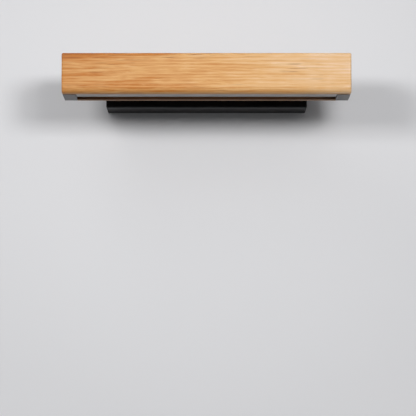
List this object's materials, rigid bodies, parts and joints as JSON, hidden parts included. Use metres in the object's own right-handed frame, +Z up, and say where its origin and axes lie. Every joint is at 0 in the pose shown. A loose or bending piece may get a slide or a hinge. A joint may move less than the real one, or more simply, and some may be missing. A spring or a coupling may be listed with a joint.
{
  "type": "bicycle wall rack",
  "caption": "Wall rack for a bicycle's top tube: an oak beam with notched grey metal cheeks and a key tray, on arms from a folded black steel wall bracket.",
  "frame": {"origin": "middle of the four wall screw holes, on the wall face of the bracket's back plate", "axes": "+X along the beam, to the right as seen from the room; +Y into the wall; +Z up"},
  "size_m": [0.45, 0.241, 0.0895],
  "materials": {
    "oak": "clear matt oil",
    "grey_metal": "matt powder coat",
    "light_metal": "matt powder coat",
    "grey_felt": "pressed wool felt",
    "black_steel": "fine black powder coat",
    "black_bolt": "black oxide",
    "zinc_steel": "zinc plated",
    "brass": "plain turned"
  },
  "bodies": {
    "root": {"front_board": "oak", "rear_board": "oak", "left_cheek": "grey_metal", "right_cheek": "grey_metal", "left_saddle": "grey_felt", "right_saddle": "grey_felt", "key_tray": "light_metal", "tray_mat": "grey_felt", "wall_bracket": "black_steel", "left_arm": "black_steel", "right_arm": "black_steel", "front_cheek_screws": "zinc_steel", "rear_cheek_screws": "zinc_steel", "tray_screws": "zinc_steel", "beam_bolts": "black_bolt", "beam_washers": "black_bolt", "threaded_inserts": "brass", "bracket_bolts": "black_bolt", "bracket_washers": "black_bolt", "bracket_nuts": "zinc_steel"}
  },
  "joints": []
}
